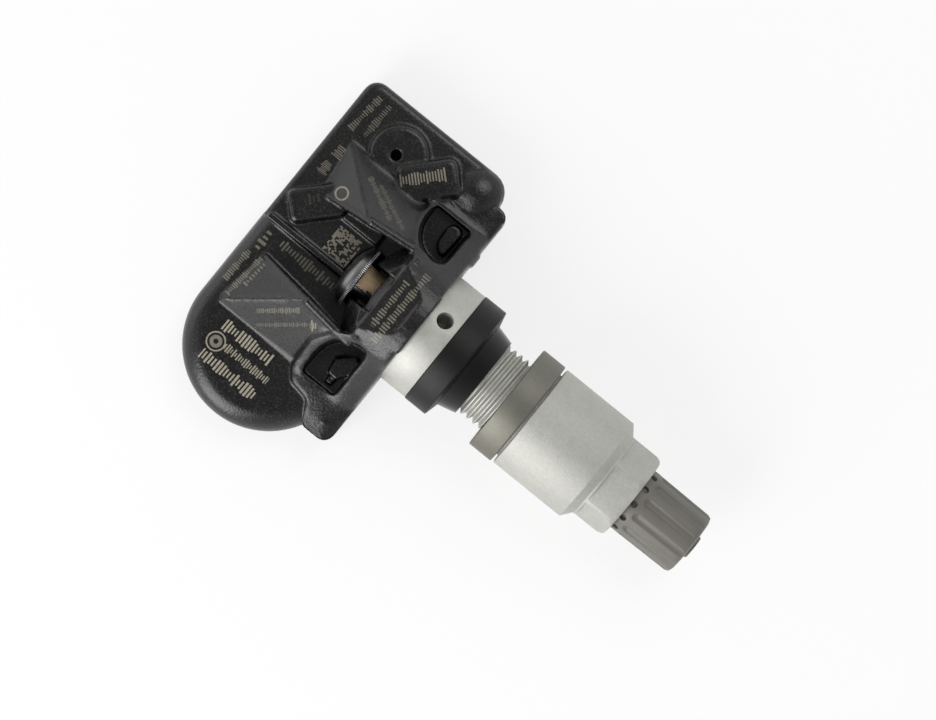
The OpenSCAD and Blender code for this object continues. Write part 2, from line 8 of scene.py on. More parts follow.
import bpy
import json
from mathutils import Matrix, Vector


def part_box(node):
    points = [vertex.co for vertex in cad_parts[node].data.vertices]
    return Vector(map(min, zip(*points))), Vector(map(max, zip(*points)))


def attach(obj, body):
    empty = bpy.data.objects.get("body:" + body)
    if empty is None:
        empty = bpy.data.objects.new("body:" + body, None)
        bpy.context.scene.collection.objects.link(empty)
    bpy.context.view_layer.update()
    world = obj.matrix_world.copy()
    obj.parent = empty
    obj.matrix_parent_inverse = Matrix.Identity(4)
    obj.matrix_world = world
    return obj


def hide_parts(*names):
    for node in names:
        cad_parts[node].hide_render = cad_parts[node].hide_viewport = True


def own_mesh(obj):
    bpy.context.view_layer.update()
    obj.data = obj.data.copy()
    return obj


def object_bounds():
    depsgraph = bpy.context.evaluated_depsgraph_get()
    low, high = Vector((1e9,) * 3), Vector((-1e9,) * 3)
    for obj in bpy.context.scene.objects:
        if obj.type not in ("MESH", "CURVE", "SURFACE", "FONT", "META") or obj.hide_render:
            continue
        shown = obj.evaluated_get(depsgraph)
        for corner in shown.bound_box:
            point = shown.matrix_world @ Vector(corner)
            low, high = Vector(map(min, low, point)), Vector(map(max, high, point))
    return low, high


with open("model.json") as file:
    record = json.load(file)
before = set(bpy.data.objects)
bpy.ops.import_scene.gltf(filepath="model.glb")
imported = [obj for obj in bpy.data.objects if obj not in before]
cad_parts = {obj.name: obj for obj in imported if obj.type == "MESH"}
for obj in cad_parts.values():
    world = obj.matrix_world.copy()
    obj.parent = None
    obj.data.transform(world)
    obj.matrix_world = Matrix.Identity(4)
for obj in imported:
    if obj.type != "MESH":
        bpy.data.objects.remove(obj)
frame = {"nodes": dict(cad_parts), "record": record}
cad_low, cad_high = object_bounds()
print("CAD box in mm:", [round(1000 * v, 1) for v in (*cad_low, *cad_high)])

# %% Modules and units
import json
import math

import bmesh
import bpy
from mathutils import Matrix, Vector

MM = 0.001
FLOOR_Z = cad_low.z


def mm(*values):
    """A place given in millimetres, in metres."""
    return Vector(values) * MM


print("the floor is at", round(FLOOR_Z / MM, 2), "mm")

# %% [markdown]
# Shader maths as plain Python
#
# A pattern such as a row of engraved strokes needs a lot of small sums. Wiring each Math node by hand
# hides what they do, so a socket is wrapped in a class whose operators add the nodes: `1 - mask` or
# `x * x + y * y` then reads like any other expression.

# %% One wrapped socket
class Wire:
    """A shader value in one node tree."""

    def __init__(self, tree, socket=None):
        self.tree = tree
        self.socket = socket

    def node(self, kind, settings, values, out=0):
        """Adds a node: its settings first, then the values or wires of its inputs."""
        made = self.tree.nodes.new("ShaderNode" + kind)
        for name, value in settings.items():
            setattr(made, name, value)
        for key, value in values.items():
            if isinstance(value, Wire):
                self.tree.links.new(value.socket, made.inputs[key])
            else:
                made.inputs[key].default_value = value
        return Wire(self.tree, made.outputs[out])

    def maths(self, operation, *values):
        """One Math node with the values as its inputs."""
        return self.node("Math", {"operation": operation}, dict(enumerate(values)))

    def __add__(self, other):
        return self.maths("ADD", self, other)

    def __sub__(self, other):
        return self.maths("SUBTRACT", self, other)

    def __rsub__(self, other):
        return self.maths("SUBTRACT", other, self)

    def __mul__(self, other):
        return self.maths("MULTIPLY", self, other)

    def __truediv__(self, other):
        return self.maths("DIVIDE", self, other)

    def __gt__(self, other):
        return self.maths("GREATER_THAN", self, other)

    def __lt__(self, other):
        return self.maths("LESS_THAN", self, other)

    def __abs__(self):
        return self.maths("ABSOLUTE", self)

    __radd__ = __add__
    __rmul__ = __mul__


def grain(where, scale, detail=3.0):
    """Soft noise from 0 to 1, with so many blotches a millimetre."""
    return where.node("TexNoise", {}, {"Vector": where, "Scale": scale, "Detail": detail}, "Fac")


def blend_colours(mask, low, high):
    """The low colour where the mask is 0 and the high one where it is 1."""
    return mask.node("Mix", {"data_type": "RGBA"}, {0: mask, 6: low, 7: high}, 2)


def parts_of(where):
    """The x, y and z of a vector."""
    return [where.node("SeparateXYZ", {}, {0: where}, axis) for axis in range(3)]


def start_finish(name):
    """A new material, and its object coordinates in millimetres."""
    material = bpy.data.materials.new(name)
    material.use_nodes = True
    root = Wire(material.node_tree)
    metres = root.node("TexCoord", {}, {}, "Object")
    where = root.node("VectorMath", {"operation": "SCALE"}, {0: metres, 3: 1 / MM})
    return material, where


def end_finish(material, colour, rough, metallic=0.0, height=None, depth=0.0, **constants):
    """Feeds the main shader. height is a wire from 0 to 1 that stands depth millimetres high."""
    shader = material.node_tree.nodes["Principled BSDF"]
    values = {"Base Color": colour, "Roughness": rough, "Metallic": metallic, **constants}
    if height is not None:
        bump_values = {"Strength": 1.0, "Distance": depth * MM, "Height": height}
        values["Normal"] = height.node("Bump", {}, bump_values)
    for name, value in values.items():
        socket = shader.inputs[name.replace("_", " ")]
        if isinstance(value, Wire):
            material.node_tree.links.new(value.socket, socket)
        elif name == "Base Color":
            socket.default_value = (*value, 1)
        else:
            socket.default_value = value
    return material


print("shader helpers are ready")

# %% [markdown]
# The black housing plastic
#
# Glass-filled plastic that was moulded in a spark-eroded tool is never one flat black: it has a fine
# even grain, slightly shinier patches, and here rows of pale marks burnt in by a laser. The marks are
# plain strokes and a chequered patch in place of wording, drawn as masks on the object coordinates,
# so that they stay where they are burnt at every pose.

# %% Rows of strokes
# Each row: middle x, middle y, direction in degrees, length, height and stroke spacing in mm, and strength
MARK_ROWS = [
    (-31.05, 17.2, 84, 5.8, 1.1, 0.34, 0.32), (-29.15, 17.5, 88, 5.2, 1.1, 0.34, 0.25),
    (-30.5, 11.2, 90, 1.7, 1.7, 0.3, 0.4), (-30.7, 8.4, 90, 1.8, 1.7, 0.24, 0.4),
    (-19.75, 15.45, 47, 6.2, 2.0, 0.39, 0.6), (-22.3, 9.7, -26, 6.4, 0.8, 0.25, 0.3),
    (-20.4, 9.8, -24, 6.7, 0.8, 0.25, 0.25), (-23.6, 14.3, 53, 4.8, 0.8, 0.3, 0.05),
    (-29.3, 4.2, 47, 2.0, 1.4, 0.6, 0.06), (-24.4, -3.05, -1, 9.1, 1.6, 0.5, 0.35),
    (-31.0, -3.9, 90, 3.2, 1.4, 0.8, 0.35), (-31.7, -8.9, 87, 5.0, 1.1, 0.34, 0.4),
    (-30.0, -9.3, 85, 6.6, 0.9, 0.3, 0.4), (-29.0, -8.2, 85, 4.0, 0.8, 0.5, 0.35),
    (-23.5, -10.05, 39, 5.8, 0.8, 0.25, 0.35), (-22.0, -11.2, 39, 7.0, 0.6, 0.25, 0.25),
    (-18.6, -8.65, 39, 0.9, 1.5, 0.25, 0.7), (-24.1, -15.9, 0, 7.9, 1.9, 0.5, 1.0),
    (-22.6, -18.2, -1, 7.4, 1.3, 0.36, 0.8), (-23.5, -20.8, -1, 9.2, 1.8, 0.52, 0.9),
    (-11.1, 0.2, 89, 11.2, 1.2, 0.42, 0.4), (-12.6, -0.2, 90, 7.3, 1.2, 0.42, 0.4),
]
# Each ring: middle x, middle y, radius and line width in mm, and strength
MARK_RINGS = [
    (-26.7, 7.1, 0.85, 0.25, 0.6), (-27.5, -18.4, 1.25, 0.2, 0.8), (-27.5, -18.4, 0.6, 0.5, 0.5),
]
# The chequered patch: middle x, middle y and half its side
PATCH = (-22.35, 1.85, 1.95)
PATCH_CELLS = 16
PATCH_STRENGTH = 0.65
# What gives every cell of the patch its own number, and the share of cells that stay empty
CELL_NUMBER = (17.3, 5.1, 40)
CELLS_EMPTY = 0.45
# A stroke's half height as a share of the row's height, and its width as a share of the spacing:
# the least, and what chance adds
STROKE_TALL = (0.22, 0.3)
STROKE_WIDE = (0.42, 0.22)


def chance_of(number):
    """A random value from 0 to 1 that belongs to the number."""
    return number.node("TexWhiteNoise", {"noise_dimensions": "1D"}, {"W": number}, "Value")


def mark_row(x, y, row, seed):
    """The strength on the strokes of one row, and 0 beside them."""
    mid_x, mid_y, turn, length, height, spacing, strength = row
    cosine = math.cos(math.radians(turn))
    sine = math.sin(math.radians(turn))
    along = (x - mid_x) * cosine + (y - mid_y) * sine
    across = (y - mid_y) * cosine - (x - mid_x) * sine
    step = along / spacing
    chance = chance_of(step.maths("FLOOR", step) + seed)
    tall = abs(across) < chance * (STROKE_TALL[1] * height) + STROKE_TALL[0] * height
    wide = step.maths("FRACT", step) < STROKE_WIDE[0] + STROKE_WIDE[1] * chance
    return tall * wide * (abs(along) < length / 2) * strength


def mark_ring(x, y, ring):
    """The strength on a plain ring."""
    mid_x, mid_y, radius, line, strength = ring
    away = x.maths("SQRT", (x - mid_x) * (x - mid_x) + (y - mid_y) * (y - mid_y))
    return (abs(away - radius) < line / 2) * strength


def chequered_patch(x, y):
    """The strength on about half the cells of a square patch."""
    mid_x, mid_y, half = PATCH
    cell = 2 * half / PATCH_CELLS
    column = x.maths("FLOOR", (x - mid_x) / cell)
    line = x.maths("FLOOR", (y - mid_y) / cell)
    chance = chance_of(column * CELL_NUMBER[0] + line * CELL_NUMBER[1] + CELL_NUMBER[2])
    inside = (abs(x - mid_x) < half) * (abs(y - mid_y) < half)
    return (chance > CELLS_EMPTY) * inside * PATCH_STRENGTH


print("marks:", len(MARK_ROWS), "rows of strokes,", len(MARK_RINGS), "rings and a patch")

# %% [markdown]
# The marks and the plastic come together in one material. The marks keep to faces that look up, because
# the laser burns from above, and they fade a little from place to place.

# %% The housing finish
FINISHES = {}
PLASTIC_BLACK = (0.003, 0.003, 0.0028, 1)
PLASTIC_SPECK = (0.026, 0.026, 0.025, 1)
BURNT_MARK = (0.44, 0.40, 0.31, 1)
SEED_STEP = 31.7
LOWEST_MARK_Z = -3.4
FACES_UP = 0.4


def all_marks(x, y):
    """The strength of whichever mark covers a place."""
    marks = chequered_patch(x, y)
    for number, row in enumerate(MARK_ROWS):
        marks = marks.maths("MAXIMUM", marks, mark_row(x, y, row, SEED_STEP * number))
    for ring in MARK_RINGS:
        marks = marks.maths("MAXIMUM", marks, mark_ring(x, y, ring))
    return marks


def housing_finish():
    """Grained black plastic with pale specks, and the marks burnt into it."""
    material, where = start_finish("black_moulded_plastic")
    x, y, z = parts_of(where)
    marks = all_marks(x, y)
    up = parts_of(where.node("NewGeometry", {}, {}, "Normal"))[2]
    burnt = marks * (up > FACES_UP) * (z > LOWEST_MARK_Z) * (0.5 + 0.7 * grain(where, 2.5))
    pale_specks = grain(where, 4.5, 2.0) > 0.58
    worn = 0.3 + 0.7 * grain(where, 0.22)
    black = blend_colours(pale_specks * worn, PLASTIC_BLACK, PLASTIC_SPECK)
    colour = blend_colours(burnt, black, BURNT_MARK)
    rough = 0.23 + 0.12 * grain(where, 0.5) + 0.1 * pale_specks * worn + 0.3 * burnt
    fine = grain(where, 3.0, 3.0)
    return end_finish(material, colour, rough, height=fine, depth=0.045, Specular_IOR_Level=0.58)


FINISHES["shell_plastic"] = housing_finish()
print("housing finish:", len(FINISHES["shell_plastic"].node_tree.nodes), "nodes")

# %% [markdown]
# The other finishes
#
# The valve and the nut are aluminium with a satin, faintly blasted surface: a metal with medium
# roughness and a small sparkle of bump. Turned pieces also carry fine rings from the lathe, which are
# a sine along X. The grommet is matt on its disc and glossy on the neck that is oiled for fitting.

# %% Metals
# The lathe rings are a sine that turns so many radians a millimetre
RING_TURN = 42
ALUMINIUM = (0.50, 0.50, 0.465)


def shade(colour, share):
    """A colour made darker or lighter, with its alpha."""
    return (*[min(1.0, share * c) for c in colour], 1)


def satin_metal(name, colour, rough, spread, ring_depth=0.0015, blast=0.006, bare=1.0):
    """Turned and blasted metal: blotchy roughness, faint lathe rings and a pebbled skin.

    ring_depth and blast are heights in millimetres. bare is 1 for bright metal and less for a dull one.
    """
    material, where = start_finish(name)
    x = parts_of(where)[0]
    rings = 0.5 + 0.5 * x.maths("SINE", x * RING_TURN)
    cloud = grain(where, 0.7)
    mottle = 0.5 * cloud + 0.5 * grain(where, 2.6, 2.0)
    tint = blend_colours(mottle, shade(colour, 0.74), shade(colour, 1.2))
    height = grain(where, 5.0, 2.0) + rings * (ring_depth / blast)
    return end_finish(material, tint, rough + spread * cloud, bare, height, blast)


FINISHES["valve_aluminium"] = satin_metal("satin_aluminium", ALUMINIUM, 0.46, 0.2, blast=0.012, bare=0.6)
FINISHES["nut_aluminium"] = satin_metal("blasted_aluminium", ALUMINIUM, 0.52, 0.2, ring_depth=0.001,
    blast=0.035, bare=0.6)
FINISHES["ring_metal"] = satin_metal("grey_ring_metal", (0.215, 0.21, 0.18), 0.5, 0.15)
for slot_name, colour in {
    "cell_steel": (0.6, 0.6, 0.58), "tab_nickel": (0.62, 0.58, 0.5), "crystal_can": (0.6, 0.6, 0.58),
    "antenna_metal": (0.6, 0.54, 0.4), "core_brass": (0.66, 0.48, 0.2), "spring_steel": (0.5, 0.5, 0.5),
}.items():
    FINISHES[slot_name] = satin_metal(slot_name + "_finish", colour, 0.3, 0.15)
print("metals:", len(FINISHES))

# %% [markdown]
# The screw's rim is finely serrated. The teeth are a sine of the angle round the axis, which stands out
# as bump. The shank behind the head carries a tan patch of dried thread-lock on its upper side.

# %% The screw's dark steel and its patch
# Where the head's rim lies along the valve axis, and how many teeth go round it
HEAD_X = -17.8
RIM_TEETH = 104


def screw_finish():
    """Dark bright steel. The threaded shank carries a dried thread-lock patch on its upper side."""
    material, where = start_finish("dark_screw_steel")
    x, y, z = parts_of(where)
    shank = x > HEAD_X + 0.1
    streaks = grain(where.node("Mapping", {}, {"Vector": where, "Scale": (0.5, 2.6, 2.6)}), 1.4)
    cloud = grain(where, 2.2)
    smear = 0.6 * streaks + 0.4 * cloud
    patch = shank * (y + 2.2 * smear > 0.2) * (z > 0)
    steel_colour = blend_colours(shank, (0.22, 0.22, 0.22, 1), (0.30, 0.30, 0.32, 1))
    lock_colour = blend_colours(smear, (0.62, 0.42, 0.22, 1), (0.26, 0.21, 0.15, 1))
    colour = blend_colours(patch, steel_colour, lock_colour)
    rough = 0.24 + 0.1 * cloud + 0.3 * patch
    round_x = y.maths("ARCTAN2", y, z)
    teeth = (0.5 + 0.5 * x.maths("SINE", round_x * RIM_TEETH)) * (x > HEAD_X - 0.4) * (1 - shank)
    height = 0.1 * grain(where, 5.0) + teeth + shank * streaks
    return end_finish(material, colour, rough, 1 - patch, height, 0.12)


FINISHES["screw_steel"] = screw_finish()
print("the screw's rim has", RIM_TEETH, "teeth")

# %% [markdown]
# Rubber and plastics reflect little. What tells them apart is how rough they are, so each gets its own
# roughness and a faint change of tone.

# %% Rubber and plastics
# Where the grommet's neck begins along the valve axis
NECK_X = 0.38


def grommet_finish():
    """Rubber: powdery on the disc, smooth and glossy on the neck."""
    material, where = start_finish("grommet_rubber_finish")
    x = parts_of(where)[0]
    neck = x > NECK_X
    cloud = grain(where, 1.5)
    colour = blend_colours(neck, (0.003, 0.003, 0.0027, 1), (0.005, 0.005, 0.0048, 1))
    rough = 0.4 + 0.14 * cloud - neck * 0.28
    return end_finish(material, colour, rough, height=grain(where, 8.0) * (1 - neck), depth=0.01,
        Specular_IOR_Level=0.3)


def soft_finish(name, colour, rough, depth=0.008):
    """Plain plastic, rubber or ceramic with a grain and a slow change of tone."""
    material, where = start_finish(name)
    cloud = grain(where, 0.6)
    tint = blend_colours(cloud, shade(colour, 0.85), shade(colour, 1.0))
    patchy = rough + 0.12 * grain(where, 1.1)
    return end_finish(material, tint, patchy, height=grain(where, 6.0), depth=depth)


FINISHES["grommet_rubber"] = grommet_finish()
FINISHES["cap_plastic"] = soft_finish("grey_cap_plastic", (0.165, 0.156, 0.137), 0.4, 0.012)
FINISHES["cover_plastic"] = soft_finish("cover_plastic_finish", (0.014, 0.014, 0.015), 0.4)
for slot_name, colour, rough in [
    ("board", (0.02, 0.12, 0.05), 0.35), ("package", (0.02, 0.02, 0.02), 0.5),
    ("soft_seal", (0.04, 0.04, 0.045), 0.6), ("ferrite", (0.05, 0.05, 0.05), 0.6),
    ("copper_wire", (0.5, 0.17, 0.06), 0.35), ("capacitor", (0.3, 0.2, 0.12), 0.5),
    ("core_seal", (0.55, 0.06, 0.04), 0.4), ("cap_gasket", (0.28, 0.08, 0.04), 0.6),
]:
    FINISHES[slot_name] = soft_finish(slot_name + "_finish", colour, rough)
print("finishes:", sorted(FINISHES))

# %% [markdown]
# Finished copies of the solids
#
# A CAD mesh is loose triangles with knife-sharp edges. A copy is merged, its flat triangles are
# dissolved into whole faces, and the sharp edges get a small two-step bevel, because it is the bevel
# that catches a line of light. The copy then stands in for the solid.

# %% Helpers for meshes
# The merge distance in millimetres, and the angles in degrees below which faces are one flat face
# and above which an edge is sharp
WELD = 0.003
FLAT = 0.6
SHARP = 28
SLOT_OF = {part["node"]: part["material_slot"] for part in frame["record"]["subparts"]}
BODIES = frame["record"]["behaviour"]["bodies"]
BODY_OF = {node: body for body, nodes in BODIES.items() for node in nodes}
REPLACED = set()


def add_object(name, data):
    """A new object in the scene that shows the data."""
    made = bpy.data.objects.new(name, data)
    bpy.context.scene.collection.objects.link(made)
    return made


def mesh_of(name, bm):
    """The bmesh as a mesh. The bmesh is freed."""
    mesh = bpy.data.meshes.new(name)
    bm.to_mesh(mesh)
    bm.free()
    return mesh


def merged_copy(node):
    """The node's triangles as one welded bmesh."""
    bm = bmesh.new()
    bm.from_mesh(frame["nodes"][node].data)
    bmesh.ops.remove_doubles(bm, verts=bm.verts, dist=WELD * MM)
    return bm


def whole_faces(bm):
    """Joins the flat triangles of each face."""
    bmesh.ops.dissolve_limit(bm, angle_limit=math.radians(FLAT), verts=bm.verts, edges=bm.edges)


def sharp_edges(bm, degrees):
    """The edges where two faces meet at more than so many degrees."""
    limit = math.radians(degrees)
    return [e for e in bm.edges if len(e.link_faces) == 2 and e.calc_face_angle(0) > limit]


def round_edges(bm, edges, width):
    """A two-step bevel of so many millimetres."""
    bmesh.ops.bevel(bm, geom=edges, offset=width * MM, offset_type="OFFSET", affect="EDGES", segments=2,
        profile=0.5, material=-1, clamp_overlap=True)


def finish_piece(name, bm, node, crease=40):
    """Makes the bmesh an object that stands in for the node, with its finish and on its body."""
    mesh = mesh_of(name, bm)
    mesh.shade_smooth()
    mesh.set_sharp_from_angle(angle=math.radians(crease))
    mesh.materials.append(FINISHES[SLOT_OF[node]])
    piece = add_object(name, mesh)
    REPLACED.add(node)
    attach(piece, BODY_OF[node])
    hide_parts(node)
    print(name, "has", len(mesh.polygons), "faces")
    return piece


def finish_rounded(name, bm, node, width):
    """Makes the faces whole, rounds the sharp edges and finishes the piece."""
    whole_faces(bm)
    round_edges(bm, sharp_edges(bm, SHARP), width)
    finish_piece(name, bm, node)


print("nodes in the frame:", len(SLOT_OF))

# %% The pieces that only need their edges rounded
BEVEL_WIDTHS = {"union_nut": 0.09, "spacer_ring": 0.05, "dust_cap": 0.05, "rim_grommet": 0.04}
for node, width in BEVEL_WIDTHS.items():
    finish_rounded(node + "_finished", merged_copy(node), node, width)

# %% [markdown]
# The base cover and the screw
#
# One corner of the cover would show outside the housing's round corner, so it is cut off. The screw's
# solid has a coarse row of notches in its rim, which is closed, because the finish draws finer teeth.

# %% Trim the cover and close the screw's rim
# A place on the cut through the cover, and the depth of the notches in the rim
COVER_CUT = (-11, 20.7, -8)
NOTCH = 0.24


def cut_and_close(bm, place, way):
    """Cuts off what lies beyond a plane and closes the cut."""
    whole = [*bm.verts, *bm.edges, *bm.faces]
    bmesh.ops.bisect_plane(bm, geom=whole, plane_co=mm(*place), plane_no=way, clear_outer=True)
    bmesh.ops.contextual_create(bm, geom=[e for e in bm.edges if e.is_boundary])


def trimmed_cover():
    """The base cover without the corner that would stick out."""
    bm = merged_copy("base_cover")
    cut_and_close(bm, COVER_CUT, (1, 1, 0))
    return bm


def plain_screw():
    """The screw with its rim closed to a plain round edge."""
    bm = merged_copy("retaining_screw")
    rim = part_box("retaining_screw")[1].z
    for v in bm.verts:
        r = math.hypot(v.co.y, v.co.z)
        if r > rim - NOTCH * MM and abs(v.co.x - HEAD_X * MM) < NOTCH * MM:
            v.co = Vector((HEAD_X * MM, v.co.y * rim / r, v.co.z * rim / r))
    bmesh.ops.remove_doubles(bm, verts=bm.verts, dist=WELD * MM)
    bmesh.ops.dissolve_degenerate(bm, dist=0.001 * MM, edges=bm.edges)
    return bm


finish_rounded("base_cover_finished", trimmed_cover(), "base_cover", 0.1)
finish_rounded("screw_finished", plain_screw(), "retaining_screw", 0.08)

# %% [markdown]
# The moulded housing
#
# A moulding has no sharp edge anywhere: every corner of the tool has a radius, and the plastic flows
# into soft blends where walls meet. Rounding each edge by hand would fail where many meet at once.
# Remeshing the whole solid into small even cells and smoothing them blends every edge at the same
# time, as the real tool does.
#
# Some places are rounder than others, and two faces lean a little more than in the solid. They are
# named here as zones: a stretch along x and a stretch of the distance from the middle plane.

# %% Zones of the moulding
# Each zone: lowest and highest x, then lowest and highest distance from the middle plane
POCKETS = (-16.2, -10.9, 7.8, 14.4)
LOBES = (-18.6, -7.4, 7.9, 17.5)
ROOF_SIDES = (-12.9, -7.4, 4.6, 8)
RAMPS = (-31, -14, 7.9, 13.6)
SADDLE_SIDES = (-12.7, -8, 4.7, 7.6)
LOWER_SHELF = (-17.6, -7, 7.2, 20.4)
# The top of the blocks in the pockets, the foot of the lobes, and the foot of the ramps
BLOCK_TOP_Z = -0.45
LOBE_FOOT_Z = -2.2
RAMP_FOOT_Z = -1.7
# The lower shelf: where it starts to follow the press and over what height, its hinge line, its lift
# there and the width of that lift, and its fall beyond the line
SHELF_FOOT_Z = -2.75
SHELF_GRIP = 1.1
HINGE_Y = 14.4
HINGE_LIFT = 0.5
LIFT_WIDTH = 2.0
SHELF_FALL = 0.32
# The strip beside the pocket: the x of its fold, the distance from the middle plane beyond which the
# fold leans, how much it leans, and the fall of the strip beyond it
FOLD = (-10.9, 14.2, 0.42)
STRIP_FALL = 0.36
# The radius of the arch over the ball foot
ARCH_R = 9.3


def in_zone(p, zone):
    """True for a place in millimetres that lies in a zone, on either side of the middle plane."""
    return zone[0] < p.x < zone[1] and zone[2] < abs(p.y) < zone[3]


def near_rim(p):
    """True on the wide soft rims of the pockets, but not on the blocks that stand in them."""
    foot = BLOCK_TOP_Z if in_zone(p, POCKETS) else LOBE_FOOT_Z
    return p.z > foot and (in_zone(p, LOBES) or in_zone(p, ROOF_SIDES))


def on_ramp(p):
    """True on the two ramps that climb from the deck to the pads of the cradle."""
    return p.z > RAMP_FOOT_Z and in_zone(p, RAMPS)


def press_shelf(p):
    """Tilts the lower shelf outwards, and the strip beside its pocket towards the wheel."""
    if p.y > 0 or p.z <= SHELF_FOOT_Z or not in_zone(p, LOWER_SHELF):
        return p.z
    out = -p.y
    grip = min((p.z - SHELF_FOOT_Z) / SHELF_GRIP, 1.0)
    fold = FOLD[0] + FOLD[2] * max(out - FOLD[1], 0.0)
    if out > HINGE_Y:
        tilt = HINGE_LIFT - SHELF_FALL * (out - HINGE_Y)
    else:
        tilt = HINGE_LIFT * max((out - HINGE_Y + LIFT_WIDTH) / LIFT_WIDTH, 0.0)
    return p.z + grip * (tilt - STRIP_FALL * max(p.x - fold, 0.0))


def saddle_skin(p):
    """The height of the plain arch beside the saddle, and no limit anywhere else."""
    if p.z <= 0 or not in_zone(p, SADDLE_SIDES):
        return p.z
    slope_start = ARCH_R * math.sqrt(0.5)
    if abs(p.y) < slope_start:
        return math.sqrt(ARCH_R ** 2 - p.y ** 2)
    return 2 * slope_start - abs(p.y)


print("the lower shelf falls", SHELF_FALL, "mm for each mm beyond its hinge line")

# %% [markdown]
# Ribs, beads and low blocks are added before the remesh, so that they blend into the moulding too. So
# are the cheeks of the round seat beside the screw's slot, the fill of one narrow groove, and three posts
# that close a corner where the wall is thin.

# %% Small forms
BAR_SIDES = 10
# Where the middle of the ball foot lies along the valve axis, and the radius of the seat's cheeks
BALL_X = -4.7
CHEEK_R = 13.0
# The cuts that leave one cheek of a ball: a place on each cut, and the way that is cut off
CHEEK_CUTS = [
    ((-13, 0, 0), (1, 0, 0)), ((0, 0, 7.2), (0, 0, 1)), ((0, 0, -5), (0, 0, -1)),
    ((0, 2.8, 0), (0, -1, 0)), ((0, 6.6, 0), (0, 1, 0)),
]
# Bars that stand on both sides of the middle plane: start, end and radius
PAIRED_BARS = [
    ((-21.3, 6.6, 5.95), (-13.3, 7.5, 4.85), 0.62),
    ((-21.3, 6.55, 5.85), (-29.4, 5.6, -2.1), 0.4),
]
# The bead on the deck, the groove's fill and the three posts
SINGLE_BARS = [
    ((-30.3, -13.5, -2.95), (-17.4, -13.95, -2.95), 0.4),
    ((-15.7, 8.3, 3.4), (-17.1, 11.9, -0.1), 0.6),
    ((-10.55, 20.62, -8.5), (-10.55, 20.62, -7.2), 0.22),
    ((-10.79, 20.86, -8.5), (-10.79, 20.86, -7.2), 0.22),
    ((-11.05, 21.08, -8.5), (-11.05, 21.08, -7.2), 0.22),
]
# Low blocks on either side of the chequered patch: two corners of each
BLOCKS = [((-32.6, -1.47, -3), (-18.6, -0.55, -1.7)), ((-24.6, 4.65, -3), (-19.0, 6.3, -1.6))]


def on_side(place, side):
    """The place, or its mirror image for side -1."""
    x, y, z = place
    return x, side * y, z


def add_bar(bm, start, end, radius):
    """A round bar between two places given in millimetres."""
    start, end = mm(*start), mm(*end)
    way = end - start
    place = Matrix.Translation((start + end) / 2) @ way.to_track_quat("Z", "Y").to_matrix().to_4x4()
    bmesh.ops.create_cone(bm, cap_ends=True, segments=BAR_SIDES, radius1=radius * MM, radius2=radius * MM,
        depth=way.length, matrix=place)


def add_block(bm, low, high):
    """A box between two corners given in millimetres."""
    low, high = mm(*low), mm(*high)
    place = Matrix.Translation((low + high) / 2) @ Matrix.Diagonal((*(high - low), 1))
    bmesh.ops.create_cube(bm, size=1, matrix=place)


def add_cheek(bm, side):
    """The part of the round seat beside the screw slot, close behind the screw head."""
    cheek = bmesh.new()
    bmesh.ops.create_uvsphere(cheek, u_segments=160, v_segments=80, radius=CHEEK_R * MM,
        matrix=Matrix.Translation(mm(BALL_X, 0, 0)))
    for place, way in CHEEK_CUTS:
        cut_and_close(cheek, on_side(place, side), on_side(way, side))
    mesh = mesh_of("cheek", cheek)
    bm.from_mesh(mesh)
    bpy.data.meshes.remove(mesh)


def add_small_forms(bm):
    """Adds them all to the bmesh, first the ones that come in pairs."""
    for side in (-1, 1):
        add_cheek(bm, side)
        for start, end, radius in PAIRED_BARS:
            add_bar(bm, on_side(start, side), on_side(end, side), radius)
    for bar in SINGLE_BARS:
        add_bar(bm, *bar)
    for block in BLOCKS:
        add_block(bm, *block)


print("small forms:", 2 * len(PAIRED_BARS) + len(SINGLE_BARS), "bars,", len(BLOCKS), "blocks, 2 cheeks")

# %% Remesh, press and soften the housing
# The side of a cell in millimetres, and how many rounds of smoothing the places get
CELL = 0.17
SMOOTH_ROUNDS = 7
RIM_ROUNDS = 36
RAMP_ROUNDS = 20
MOST_TRIANGLES = 190000


def remeshed(bm):
    """The bmesh built again from small even cells, smoothed, and thinned where it is flat."""
    holder = add_object("rough_moulding", mesh_of("rough_moulding", bm))
    cells = holder.modifiers.new("cells", "REMESH")
    cells.mode = "VOXEL"
    cells.voxel_size = CELL * MM
    blend = holder.modifiers.new("blend", "SMOOTH")
    blend.factor = 0.5
    blend.iterations = SMOOTH_ROUNDS
    graph = bpy.context.evaluated_depsgraph_get()
    dense = len(holder.evaluated_get(graph).to_mesh().polygons) * 2
    thin = holder.modifiers.new("thin", "DECIMATE")
    thin.ratio = min(1.0, MOST_TRIANGLES / dense)
    graph = bpy.context.evaluated_depsgraph_get()
    shape = bmesh.new()
    shape.from_mesh(holder.evaluated_get(graph).to_mesh())
    rough = holder.data
    bpy.data.objects.remove(holder)
    bpy.data.meshes.remove(rough)
    return shape


def soften(bm, chosen, rounds):
    """Smooths the places for which chosen is true, for so many rounds."""
    soft = [v for v in bm.verts if chosen(v.co / MM)]
    for _ in range(rounds):
        bmesh.ops.smooth_vert(bm, verts=soft, factor=0.5, use_axis_x=True, use_axis_y=True,
            use_axis_z=True)
    print("rounder:", len(soft), "of", len(bm.verts), "vertices")


def moulded_copy(node):
    """The solid with its small forms and all its edges blended."""
    rough = merged_copy(node)
    add_small_forms(rough)
    shape = remeshed(rough)
    for v in shape.verts:
        place = v.co / MM
        v.co.z = min(press_shelf(place), saddle_skin(place)) * MM
    soften(shape, near_rim, RIM_ROUNDS)
    soften(shape, on_ramp, RAMP_ROUNDS)
    return shape


finish_piece("housing_moulding", moulded_copy("housing"), "housing", crease=60)

